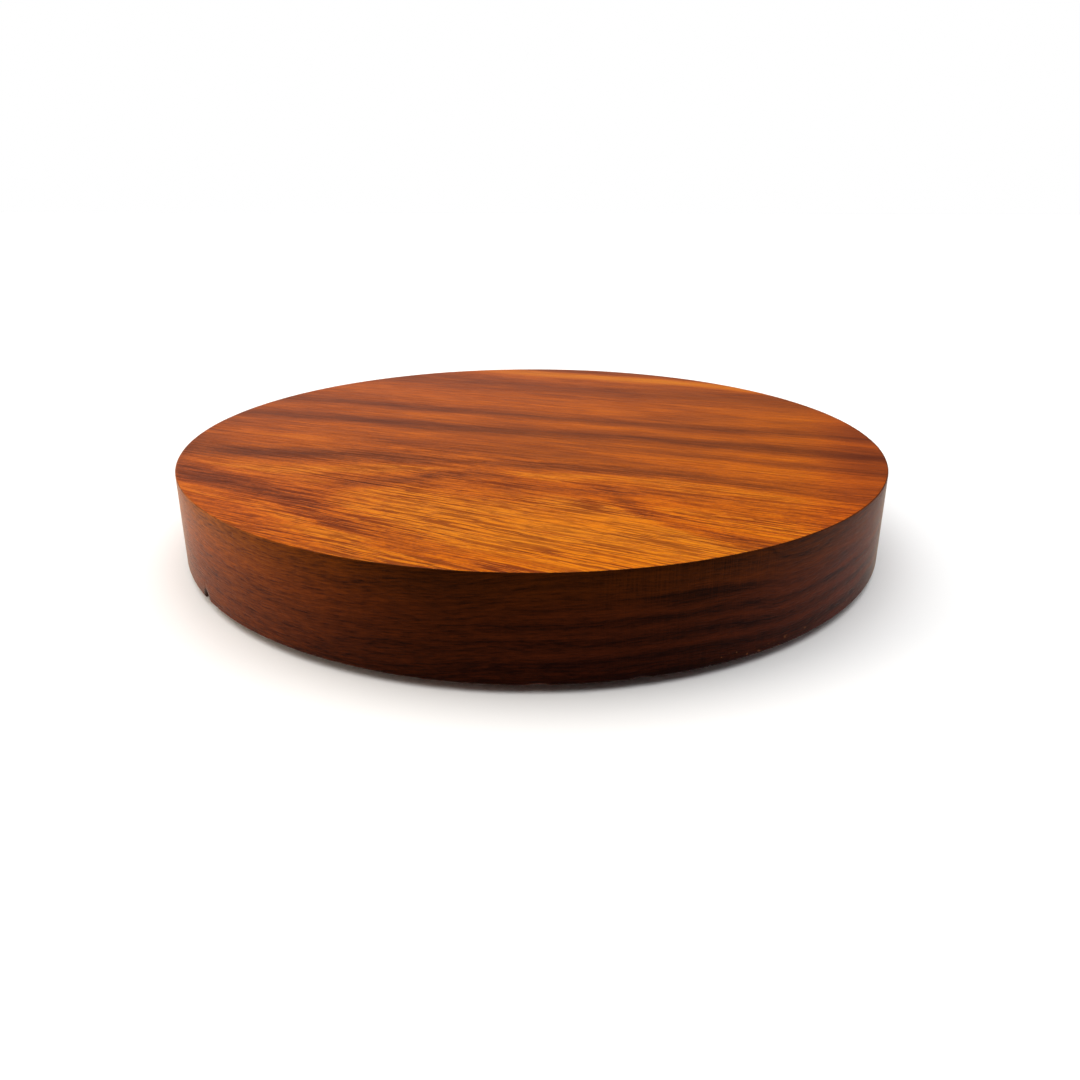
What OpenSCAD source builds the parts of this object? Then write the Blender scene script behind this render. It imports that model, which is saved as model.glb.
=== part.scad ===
// Round hardwood display turntable. A thick wooden disc turns on a slim ball
// slewing ring that is hidden, with its base plate, in a stepped recess in the
// disc's underside. Units are millimetres, +Z is up, and the origin is the
// middle of the rubber feet's footprint on the table.

/* [Turntable disc] */
// Diameter of the wooden disc
disc_d = 250; // [206:1:400]
// Thickness of the wooden disc
disc_t = 30; // [25:0.5:60]
// Radius of the disc's eased upper edge
disc_top_ease = 0.6; // [0.2:0.1:3]
// Radius of the disc's eased lower edge
disc_foot_ease = 0.4; // [0.2:0.1:2]
// Height of the disc's lower face above the table
floor_gap = 2.5; // [2:0.1:3.5]

/* [Base plate] */
// Thickness of the base plate
base_t = 8; // [6.5:0.1:12]
// How far the base plate reaches out past the slewing ring
base_rim = 15; // [12:0.5:20]
// Chamfer on both edges of the base plate
base_chamfer = 0.8; // [0.3:0.1:2]
// Radial gap between the base plate's edge and the disc's recess
base_gap = 2.5; // [1:0.1:5]

/* [Slewing ring] */
// Outside diameter of the fixed outer ring
ring_d = 160; // [130:1:192]
// Thickness of each ring
ring_t = 8.5; // [7.5:0.1:12]
// Radial width of the fixed outer ring
outer_ring_w = 12; // [11:0.1:18]
// Radial width of the turning inner ring
inner_ring_w = 12; // [11:0.1:20]
// Radial gap between the two rings
ring_split = 1.6; // [1.4:0.1:2.2]
// Height that the inner ring stands above the outer one, which is every running gap between faces
ring_step = 1; // [0.6:0.1:1.5]
// Chamfer on the rings' edges
ring_chamfer = 0.4; // [0.2:0.1:0.6]
// Radial gap between the outer ring and the disc's recess
ring_gap = 1.5; // [1:0.1:4]

/* [Balls and cage] */
// Diameter of a ball
ball_d = 5; // [4:0.1:6]
// Number of balls
ball_count = 36; // [24:1:44]
// Clearance between a ball and its race
race_gap = 0.05; // [0.02:0.01:0.1]
// Clearance between a ball and its pocket in the cage
pocket_gap = 0.1; // [0.05:0.01:0.2]
// Radial thickness of the cage strip
cage_t = 1; // [0.6:0.1:1]
// Height of the cage strip left above and below a ball's pocket
cage_rim = 0.6; // [0.4:0.1:0.8]

/* [Screws] */
// Number of screws in each ring
ring_screws = 6; // [4:1:8]
// Shank diameter of a ring screw
screw_d = 4; // [3:0.1:4.5]
// Head diameter of a countersunk ring screw
screw_head_d = 7.4; // [6:0.1:8]
// Wood left between the inner ring screws' tips and the disc's upper face
disc_tip_cover = 4.8; // [2:0.1:6]
// Wood left past the tip of a screw that goes into the base plate
base_tip_cover = 1; // [0.5:0.1:2]
// Depth that a countersunk head sits below its face
head_inset = 0.2; // [0.1:0.1:0.5]
// Radial clearance round screws, pins and plugs
fit = 0.05; // [0.02:0.01:0.15]

/* [Feet] */
// Number of feet
foot_count = 6; // [3:1:8]
// Diameter of a rubber foot
foot_d = 20; // [17:0.5:24]
// Height of a rubber foot
foot_h = 4.5; // [4.2:0.1:5.5]
// Rubber left between a foot's washer and the base plate
foot_web = 1.5; // [1:0.1:1.8]
// Distance from a foot's edge to the base plate's edge
foot_margin = 3; // [2:0.5:6]
// Diameter of the counterbore in a foot
foot_bore_d = 9; // [8:0.1:10]
// Outside diameter of a foot's washer
washer_d = 8.4; // [7:0.1:9]
// Thickness of a foot's washer
washer_t = 0.8; // [0.5:0.1:1]
// Shank diameter of a foot's screw
foot_screw_d = 3; // [2.5:0.1:3.5]
// Head diameter of a foot's screw
foot_screw_head_d = 5.8; // [5:0.1:6.5]
// Head height of a foot's screw
foot_screw_head_h = 1.6; // [1.2:0.1:1.8]

/* [Plugs] */
// Diameter of the hole in the base plate that reaches the inner ring's screws
access_d = 13; // [10:0.5:14]
// Flange diameter of the cap that closes the access hole
access_flange_d = 17; // [15:0.5:19]
// Flange thickness of that cap
access_flange_t = 1.2; // [0.8:0.1:2]
// Wall of that cap's sleeve
access_wall = 1.2; // [0.8:0.1:2]
// Diameter of the pin that locks the ball filling plug
lock_pin_d = 2; // [1.5:0.1:3]

/* [Hidden] */
$fn = 96;
BITE = 1;             // overshoot of a cutting shape past the face it opens
FOOT_CLEAR = 0.2;     // radial clearance of a foot in its shallow seat
CAP_CLEAR = 0.1;      // radial clearance of the access cap's flange in its seat
FOOT_DRAFT = 0.5;     // draft on a foot's wall
FOOT_LIP = 0.6;       // chamfer round a foot's lower face
SCREW_POINT = 0.35;   // share of a screw's diameter left at the tip of its point
DRIVE_W = 1;          // width of a cross drive's slot
SLEEVE_SLOT = 1.6;    // width of the slots that let the access cap's sleeve spring

// Heights, from the table up
base_z = floor_gap;
base_top = base_z + base_t;
outer_ring_z = base_top;
inner_ring_z = base_top + ring_step;
recess_z = inner_ring_z + ring_t;
disc_top = floor_gap + disc_t;
ball_z = base_top + (ring_t + ring_step) / 2;

// Radii, from the outside in
disc_r = disc_d / 2;
ring_r = ring_d / 2;
base_r = ring_r + base_rim;
base_recess_r = base_r + base_gap;
ring_recess_r = ring_r + ring_gap;
outer_ring_in_r = ring_r - outer_ring_w;
ball_circle_r = outer_ring_in_r - ring_split / 2;
inner_ring_out_r = ball_circle_r - ring_split / 2;
ring_bore_r = inner_ring_out_r - inner_ring_w;
ball_r = ball_d / 2;
race_r = ball_r + race_gap;
outer_screw_r = (ball_circle_r + race_r + ring_r) / 2;
inner_screw_r = (ball_circle_r - race_r + ring_bore_r) / 2;
foot_circle_r = base_r - foot_margin - foot_d / 2;

// Angles round the stand
screw_step = 360 / ring_screws;
foot_step = 360 / foot_count;
outer_screw_turn = screw_step / 2;
access_turn = screw_step / 2;
ball_step = 360 / ball_count;

// Depths and lengths that follow from the sizes above
foot_seat = foot_h - floor_gap;
foot_bore_h = foot_h - foot_web;
foot_head_z = foot_bore_h - washer_t;
foot_screw_l = base_top - base_tip_cover - foot_head_z;
base_screw_l = ring_t - head_inset + base_t - foot_seat - base_tip_cover;
disc_screw_l = disc_top - disc_tip_cover - inner_ring_z - head_inset;
screw_head_h = (screw_head_d - screw_d) / 2;
screw_drive_w = screw_head_d * 0.55;
filler_r = ball_r + pocket_gap;
filler_out_r = ring_r - ring_chamfer;
lock_pin_l = ring_t - 2 * ring_chamfer;
cap_sleeve_r = access_d / 2 - fit;
cage_h = 2 * (ball_r + pocket_gap + cage_rim);

function numbered(name, count) = [for (i = [1:count]) str(name, "_", i)];

// Moves its children out to a radius and round to an angle.
module at(radius, angle, z = 0) {
    rotate([0, 0, angle]) translate([radius, 0, z]) children();
}

// Half section of a round slab from z0 to z1, with its two outer edges rounded.
module eased_half(r, z0, z1, top, foot) {
    square_between([0, z0], [r - foot, z1 - top]);
    square_between([0, z0 + foot], [r, z1 - top]);
    square_between([0, z0 + foot], [r - top, z1]);
    translate([r - top, z1 - top]) circle(r = top);
    translate([r - foot, z0 + foot]) circle(r = foot);
}

module square_between(low, high) {
    translate(low) square(high - low);
}

// Ring with chamfered edges, from its bore radius to its outside radius.
module chamfered_ring(bore_r, out_r, z, h, c) {
    rotate_extrude() polygon([
        [bore_r, z + c], [bore_r + c, z], [out_r - c, z], [out_r, z + c],
        [out_r, z + h - c], [out_r - c, z + h], [bore_r + c, z + h], [bore_r, z + h - c]
    ]);
}

// Round groove that the balls run in, cut from both rings.
module race() {
    translate([0, 0, ball_z]) rotate_extrude() translate([ball_circle_r, 0]) circle(r = race_r);
}

// Countersunk wood screw. Its head's face is at z = 0 and its point is up.
module countersunk_screw(l, grow = 0) {
    r = screw_d / 2 + grow;
    point = screw_d;
    cylinder(r1 = screw_head_d / 2 + grow, r2 = r, h = screw_head_h);
    cylinder(r = r, h = l - point + grow);
    translate([0, 0, l - point + grow]) cylinder(r1 = r, r2 = r * SCREW_POINT, h = point);
}

// Cross-shaped drive, cut into a head from z = 0 upwards.
module cross_drive(across, depth) {
    for (turn = [0, 90])
        rotate([0, 0, turn]) translate([-across / 2, -DRIVE_W / 2, -BITE]) cube([across, DRIVE_W, depth + BITE]);
}

module driven_screw(l) {
    difference() {
        countersunk_screw(l);
        cross_drive(screw_drive_w, screw_head_h);
    }
}

// Hole for a countersunk screw, with the head sunk below the face at z = 0.
module screw_hole(l) {
    translate([0, 0, head_inset]) countersunk_screw(l, fit);
    translate([0, 0, -BITE]) cylinder(r = screw_head_d / 2 + fit, h = head_inset + BITE + fit);
}

module inner_screw_place(i) {
    at(inner_screw_r, i * screw_step, inner_ring_z) children();
}

module outer_screw_place(i) {
    at(outer_screw_r, outer_screw_turn + i * screw_step, outer_ring_z + ring_t) rotate([180, 0, 0]) children();
}

module foot_place(i) {
    at(foot_circle_r, i * foot_step) children();
}

module turntable_disc() {
    color("sienna") difference() {
        rotate_extrude() eased_half(disc_r, floor_gap, disc_top, disc_top_ease, disc_foot_ease);
        translate([0, 0, floor_gap - BITE]) cylinder(r = base_recess_r, h = base_t + ring_step + BITE);
        translate([0, 0, floor_gap]) cylinder(r = ring_recess_r, h = recess_z - floor_gap);
        for (i = [1:ring_screws]) inner_screw_place(i) screw_hole(disc_screw_l);
    }
}

module inner_ring() {
    color("silver") difference() {
        chamfered_ring(ring_bore_r, inner_ring_out_r, inner_ring_z, ring_t, ring_chamfer);
        race();
        for (i = [1:ring_screws]) inner_screw_place(i) screw_hole(disc_screw_l);
    }
}

module inner_ring_screw(i) {
    color("lightgray") inner_screw_place(i) translate([0, 0, head_inset]) driven_screw(disc_screw_l);
}

module bearing_balls() {
    color("gainsboro") for (i = [1:ball_count])
        at(ball_circle_r, i * ball_step, ball_z) sphere(r = ball_r);
}

module ball_cage() {
    color("ivory") difference() {
        chamfered_ring(ball_circle_r - cage_t / 2, ball_circle_r + cage_t / 2, ball_z - cage_h / 2, cage_h, cage_t / 5);
        for (i = [1:ball_count])
            at(ball_circle_r - cage_t, i * ball_step, ball_z) rotate([0, 90, 0])
                cylinder(r = ball_r + pocket_gap, h = 2 * cage_t);
    }
}

module outer_ring() {
    color("silver") difference() {
        chamfered_ring(outer_ring_in_r, ring_r, outer_ring_z, ring_t, ring_chamfer);
        race();
        for (i = [1:ring_screws]) outer_screw_place(i) screw_hole(base_screw_l);
        translate([ball_circle_r, 0, ball_z]) rotate([0, 90, 0]) cylinder(r = filler_r, h = ring_r);
        translate([outer_screw_r, 0, outer_ring_z - BITE]) cylinder(r = lock_pin_d / 2 + fit, h = ring_t + 2 * BITE);
    }
}

// Short plug that closes the radial hole through which the balls are loaded.
module filler_plug() {
    color("silver") difference() {
        translate([ball_circle_r, 0, ball_z]) rotate([0, 90, 0])
            cylinder(r = filler_r - fit, h = filler_out_r - ball_circle_r);
        race();
        cylinder(r = outer_ring_in_r, h = disc_top);
        translate([outer_screw_r, 0, outer_ring_z]) cylinder(r = lock_pin_d / 2 + fit, h = ring_t);
    }
}

module filler_plug_pin() {
    color("lightgray") translate([outer_screw_r, 0, outer_ring_z + ring_chamfer])
        cylinder(r = lock_pin_d / 2, h = lock_pin_l);
}

module outer_ring_screw(i) {
    color("lightgray") outer_screw_place(i) translate([0, 0, head_inset]) driven_screw(base_screw_l);
}

module base_plate() {
    color("burlywood") difference() {
        chamfered_slab(base_r, base_z, base_t, base_chamfer);
        for (i = [1:ring_screws]) outer_screw_place(i) screw_hole(base_screw_l);
        for (i = [1:foot_count]) foot_place(i) {
            translate([0, 0, base_z - BITE]) cylinder(r = foot_d / 2 + FOOT_CLEAR, h = foot_seat + BITE);
            translate([0, 0, foot_head_z]) cylinder(r = foot_screw_d / 2 + fit, h = foot_screw_l + fit);
        }
        at(inner_screw_r, access_turn, base_z - BITE) {
            cylinder(r = access_d / 2, h = base_t + 2 * BITE);
            cylinder(r = access_flange_d / 2 + CAP_CLEAR, h = access_flange_t + BITE);
        }
    }
}

module chamfered_slab(r, z, h, c) {
    rotate_extrude() polygon([[0, z], [r - c, z], [r, z + c], [r, z + h - c], [r - c, z + h], [0, z + h]]);
}

// Push-in cap with a sprung sleeve, which closes the access hole flush with the base plate.
module access_cap() {
    color("dimgray") at(inner_screw_r, access_turn, base_z) difference() {
        union() {
            cylinder(r = access_flange_d / 2, h = access_flange_t);
            cylinder(r = cap_sleeve_r, h = base_t);
        }
        translate([0, 0, access_flange_t]) cylinder(r = cap_sleeve_r - access_wall, h = base_t);
        for (turn = [0, 90])
            rotate([0, 0, turn]) translate([-access_d, -SLEEVE_SLOT / 2, access_flange_t + 1])
                cube([2 * access_d, SLEEVE_SLOT, base_t]);
    }
}

// Moulded rubber foot, with a draft on its wall and a counterbore that hides its screw.
module foot(i) {
    color("#222222") foot_place(i) difference() {
        rotate_extrude() polygon([
            [0, 0], [foot_d / 2 - FOOT_DRAFT - FOOT_LIP, 0], [foot_d / 2 - FOOT_DRAFT, FOOT_LIP],
            [foot_d / 2, foot_h - foot_seat], [foot_d / 2, foot_h], [0, foot_h]
        ]);
        translate([0, 0, -BITE]) cylinder(d = foot_bore_d, h = foot_bore_h + BITE);
        cylinder(r = foot_screw_d / 2 + FOOT_CLEAR, h = foot_h + BITE);
    }
}

module foot_washer(i) {
    color("lightgray") foot_place(i) translate([0, 0, foot_head_z]) difference() {
        cylinder(d = washer_d, h = washer_t);
        translate([0, 0, -BITE]) cylinder(r = foot_screw_d / 2 + FOOT_CLEAR, h = washer_t + 2 * BITE);
    }
}

// Pan-head wood screw that clamps a foot and its washer to the base plate.
module foot_screw(i) {
    r = foot_screw_d / 2;
    edge = foot_screw_head_h / 3;
    color("lightgray") foot_place(i) translate([0, 0, foot_head_z]) {
        difference() {
            rotate_extrude() polygon([
                [0, -foot_screw_head_h], [foot_screw_head_d / 2 - edge, -foot_screw_head_h],
                [foot_screw_head_d / 2, -foot_screw_head_h + edge], [foot_screw_head_d / 2, 0], [0, 0]
            ]);
            translate([0, 0, -foot_screw_head_h]) cross_drive(foot_screw_head_d * 0.6, foot_screw_head_h * 0.6);
        }
        cylinder(r = r, h = foot_screw_l - foot_screw_d);
        translate([0, 0, foot_screw_l - foot_screw_d]) cylinder(r1 = r, r2 = r * SCREW_POINT, h = foot_screw_d);
    }
}

turntable_disc();
inner_ring();
for (i = [1:ring_screws]) inner_ring_screw(i);
bearing_balls();
ball_cage();
outer_ring();
filler_plug();
filler_plug_pin();
for (i = [1:ring_screws]) outer_ring_screw(i);
base_plate();
access_cap();
for (i = [1:foot_count]) foot(i);
for (i = [1:foot_count]) foot_washer(i);
for (i = [1:foot_count]) foot_screw(i);
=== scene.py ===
import math

import bmesh
import bpy
from bpy.props import FloatProperty, FloatVectorProperty, IntProperty, PointerProperty
from mathutils import Matrix, Vector


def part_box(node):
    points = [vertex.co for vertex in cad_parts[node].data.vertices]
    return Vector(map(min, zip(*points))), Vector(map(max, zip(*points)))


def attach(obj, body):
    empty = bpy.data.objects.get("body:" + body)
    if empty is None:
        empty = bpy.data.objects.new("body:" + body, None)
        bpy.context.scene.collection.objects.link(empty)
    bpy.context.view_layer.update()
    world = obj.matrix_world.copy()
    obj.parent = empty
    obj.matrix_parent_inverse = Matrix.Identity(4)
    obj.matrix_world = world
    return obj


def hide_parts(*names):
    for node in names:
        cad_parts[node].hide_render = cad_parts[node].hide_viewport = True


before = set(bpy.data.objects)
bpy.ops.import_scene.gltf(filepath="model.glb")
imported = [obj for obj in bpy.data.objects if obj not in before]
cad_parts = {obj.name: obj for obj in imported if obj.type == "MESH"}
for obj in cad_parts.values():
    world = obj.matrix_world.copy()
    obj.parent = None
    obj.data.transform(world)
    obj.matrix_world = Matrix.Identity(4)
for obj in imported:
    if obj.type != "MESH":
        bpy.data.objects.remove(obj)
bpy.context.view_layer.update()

bl_info = {
    "name": "Hardwood display turntable",
    "version": (1, 0, 0),
    "blender": (4, 5, 0),
    "location": "View3D > Sidebar > Turntable",
    "description": "Builds the looks of a round hardwood turntable around its fixed frame",
    "category": "Object",
}

MM = 0.001

# Places taken from the frame, in metres
DISC_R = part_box("turntable_disc")[1].x
DISC_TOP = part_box("turntable_disc")[1].z
DISC_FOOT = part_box("turntable_disc")[0].z
BASE_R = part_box("base_plate")[1].x
BASE_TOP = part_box("base_plate")[1].z
OUTER_RING_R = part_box("outer_ring")[1].x
INNER_RING_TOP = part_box("inner_ring")[1].z

SPAN = 2 * DISC_R / MM          # the disc's width in mm, which the curves of its figure cover


def named(stem, count):
    """The names of a row of like nodes."""
    return [f"{stem}_{i}" for i in range(1, count + 1)]


RING_SCREWS = named("inner_ring_screw", 6) + named("outer_ring_screw", 6)
FEET = named("foot", 6)
FOOT_SCREWS = named("foot_screw", 6)
FOOT_WASHERS = named("foot_washer", 6)


# ---------------------------------------------------------------- sizes and colours

class DiscSettings(bpy.types.PropertyGroup):
    """The wooden disc's shape."""

    top_ease: FloatProperty(
        name="Upper edge ease", description="Radius of the sanded upper edge",
        default=0.35 * MM, min=0.1 * MM, max=2 * MM, unit="LENGTH")
    foot_ease: FloatProperty(
        name="Lower edge ease", description="Radius of the sanded lower edge",
        default=0.45 * MM, min=0.1 * MM, max=2 * MM, unit="LENGTH")
    base_gap: FloatProperty(
        name="Gap round the base", description="Radial gap between the base plate and the disc",
        default=2.5 * MM, min=1 * MM, max=5 * MM, unit="LENGTH")
    face_gap: FloatProperty(
        name="Gap above the base", description="Height of the gap above the base plate",
        default=1 * MM, min=0.6 * MM, max=1.5 * MM, unit="LENGTH")
    ring_gap: FloatProperty(
        name="Gap round the ring", description="Radial gap between the slewing ring and the disc",
        default=1.5 * MM, min=1 * MM, max=4 * MM, unit="LENGTH")
    segments: IntProperty(
        name="Segments", description="Faces round the disc", default=1080, min=360, max=2160)
    chip_depth: FloatProperty(
        name="Chip depth", description="Depth of a full chip in the lower edge",
        default=0.9 * MM, unit="LENGTH")


class WoodSettings(bpy.types.PropertyGroup):
    """Colours of the hardwood."""

    dark: FloatVectorProperty(
        name="Dark figure", description="Colour of the darkest streaks",
        default=(0.100, 0.020, 0.003), subtype="COLOR", min=0, max=1)
    brown: FloatVectorProperty(
        name="Brown figure", description="Colour between the streaks and the ground",
        default=(0.160, 0.034, 0.0035), subtype="COLOR", min=0, max=1)
    ground: FloatVectorProperty(
        name="Ground", description="Main colour of the heartwood",
        default=(0.280, 0.060, 0.004), subtype="COLOR", min=0, max=1)
    bright: FloatVectorProperty(
        name="Bright figure", description="Colour of the lighter flames",
        default=(0.460, 0.101, 0.002), subtype="COLOR", min=0, max=1)
    gold: FloatVectorProperty(
        name="Gold", description="Colour of the palest stripe near the sapwood",
        default=(0.590, 0.178, 0.006), subtype="COLOR", min=0, max=1)
    # The rim's colours are far darker than the face's: partly oiled end grain, and partly a painted
    # shade of the side, which the pale floor would otherwise light.
    rim_dark: FloatVectorProperty(
        name="Rim dark", description="Darkest colour of the oiled rim",
        default=(0.008, 0.0012, 0.0003), subtype="COLOR", min=0, max=1)
    rim_light: FloatVectorProperty(
        name="Rim light", description="Lightest colour of the oiled rim",
        default=(0.070, 0.0125, 0.0013), subtype="COLOR", min=0, max=1)


class StageSettings(bpy.types.PropertyGroup):
    """Floor, light and camera."""

    floor_colour: FloatVectorProperty(
        name="Floor", description="Colour of the plain pale floor",
        default=(0.90, 0.90, 0.895), subtype="COLOR", min=0, max=1)
    floor_size: FloatProperty(
        name="Floor size", description="Width of the floor", default=60.0, unit="LENGTH")
    camera_place: FloatVectorProperty(
        name="Camera place", description="Where the camera stands",
        default=(0.0, -0.292, 0.112), subtype="TRANSLATION", unit="LENGTH")
    camera_down: FloatProperty(
        name="Camera tilt", description="How far the camera looks down",
        default=math.radians(18.1), subtype="ANGLE")
    camera_right: FloatProperty(
        name="Camera turn", description="How far the camera looks to the right",
        default=math.radians(0.52), subtype="ANGLE")
    camera_roll: FloatProperty(
        name="Camera roll", description="How far the camera is rolled",
        default=math.radians(0.12), subtype="ANGLE")
    lens: FloatProperty(
        name="Lens", description="Focal length in millimetres on a 36 mm sensor", default=26.45)
    shift_y: FloatProperty(
        name="Vertical shift", description="Upward shift of the view", default=-0.064)


# ---------------------------------------------------------------- shader graph helper

class Graph:
    """Adds shader nodes to one material and links them, with short calls."""

    def __init__(self, name):
        self.material = bpy.data.materials.new(name)
        self.material.use_nodes = True
        self.tree = self.material.node_tree
        self.tree.nodes.clear()
        self.shader = self.tree.nodes.new("ShaderNodeBsdfPrincipled")
        output = self.tree.nodes.new("ShaderNodeOutputMaterial")
        self.tree.links.new(self.shader.outputs[0], output.inputs[0])
        self.places = None

    def put(self, socket, value):
        """Sets a socket to a value, or links another node's output to it."""
        if isinstance(value, bpy.types.NodeSocket):
            self.tree.links.new(value, socket)
        elif socket.type == "RGBA":
            socket.default_value = (*value[:3], 1.0)
        else:
            socket.default_value = value

    def node(self, kind, inputs=None, **settings):
        made = self.tree.nodes.new("ShaderNode" + kind)
        for key, value in settings.items():
            setattr(made, key, value)
        for key, value in (inputs or {}).items():
            self.put(made.inputs[key], value)
        return made

    def math(self, operation, *values):
        return self.node("Math", dict(enumerate(values)), operation=operation).outputs[0]

    def add(self, *values):
        total = values[0]
        for value in values[1:]:
            total = self.math("ADD", total, value)
        return total

    def times(self, *values):
        total = values[0]
        for value in values[1:]:
            total = self.math("MULTIPLY", total, value)
        return total

    def less(self, a, b):
        return self.math("SUBTRACT", a, b)

    def distance(self, a, b):
        """How far apart two numbers are."""
        return self.math("ABSOLUTE", self.less(a, b))

    def swing(self, noise, reach):
        """A noise of 0 to 1 turned into a swing about 0, reach from end to end."""
        return self.times(self.less(noise, 0.5), reach)

    def millimetres(self):
        """The place on the piece in mm, as (vector, x, y, z)."""
        if self.places is None:
            here = self.node("TexCoord").outputs["Object"]
            scaled = self.node("VectorMath", {0: here, "Scale": 1 / MM}, operation="SCALE")
            self.places = (scaled.outputs[0], *self.parts(scaled.outputs[0]))
        return self.places

    def parts(self, vector):
        """The x, y and z of a vector."""
        return tuple(self.node("SeparateXYZ", {0: vector}).outputs)

    def facing_up(self):
        """The upward part of the surface's direction, from -1 to 1."""
        return self.parts(self.node("TexCoord").outputs["Normal"])[2]

    def vector(self, x, y, z):
        return self.node("CombineXYZ", {0: x, 1: y, 2: z}).outputs[0]

    def shrunk(self, parts, sizes):
        """A vector of parts, each counted in its own size in mm."""
        return self.vector(*(self.times(part, 1 / size) for part, size in zip(parts, sizes)))

    def noise(self, vector, scale=1.0, detail=2.0, roughness=0.5, distortion=0.0):
        made = self.node("TexNoise", {
            "Vector": vector, "Scale": scale, "Detail": detail,
            "Roughness": roughness, "Distortion": distortion})
        return made.outputs[0]

    def fit(self, value, low, high, to_low=0.0, to_high=1.0):
        """A smooth step from to_low to to_high, as the value goes from low to high."""
        made = self.node("MapRange", {
            "Value": value, "From Min": low, "From Max": high, "To Min": to_low,
            "To Max": to_high}, interpolation_type="SMOOTHSTEP")
        return made.outputs[0]

    def curve(self, value, points):
        """A smooth curve through (position, height) points, both 0 to 1."""
        made = self.node("FloatCurve", {"Value": value})
        made.mapping.extend = "HORIZONTAL"
        line = made.mapping.curves[0]
        while len(line.points) < len(points):
            line.points.new(0.5, 0.5)
        for point, place in zip(line.points, points):
            point.location = place
        made.mapping.update()
        return made.outputs[0]

    def ramp(self, value, stops, interpolation="LINEAR"):
        """A colour that follows the value through (place, colour) stops."""
        made = self.node("ValToRGB", {0: value})
        band = made.color_ramp
        band.interpolation = interpolation
        while len(band.elements) < len(stops):
            band.elements.new(0.5)
        for element, (place, colour) in zip(band.elements, stops):
            element.position = place
            element.color = (*colour, 1.0)
        return made.outputs[0]

    def levels(self, value, stops):
        """A ramp of grey levels, as a number."""
        return self.ramp(value, [(place, (level,) * 3) for place, level in stops], "EASE")

    def mix(self, share, a, b, blend="MIX"):
        """Colour a, replaced by or blended with b by a share of 0 to 1."""
        made = self.node("Mix", data_type="RGBA", blend_type=blend)
        self.put(made.inputs["Factor"], share)
        self.put(made.inputs[6], a)
        self.put(made.inputs[7], b)
        return made.outputs[2]

    def tinted(self, colour, tint, share):
        """The colour multiplied by a tint, by a share of 0 to 1."""
        return self.mix(share, colour, tint, "MULTIPLY")

    def bump(self, height, depth, strength):
        """Relief from a height of 0 to 1, depth metres deep."""
        return self.node("Bump", {
            "Height": height, "Distance": depth, "Strength": strength}).outputs[0]

    def finish(self, **values):
        """Sets the shader's own sockets, named with _ for a space, and gives the material."""
        for key, value in values.items():
            self.put(self.shader.inputs[key.replace("_", " ")], value)
        return self.material


# ---------------------------------------------------------------- the wood

GRAIN_TURN = math.radians(20)   # of the grain on the disc, about its axis

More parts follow.
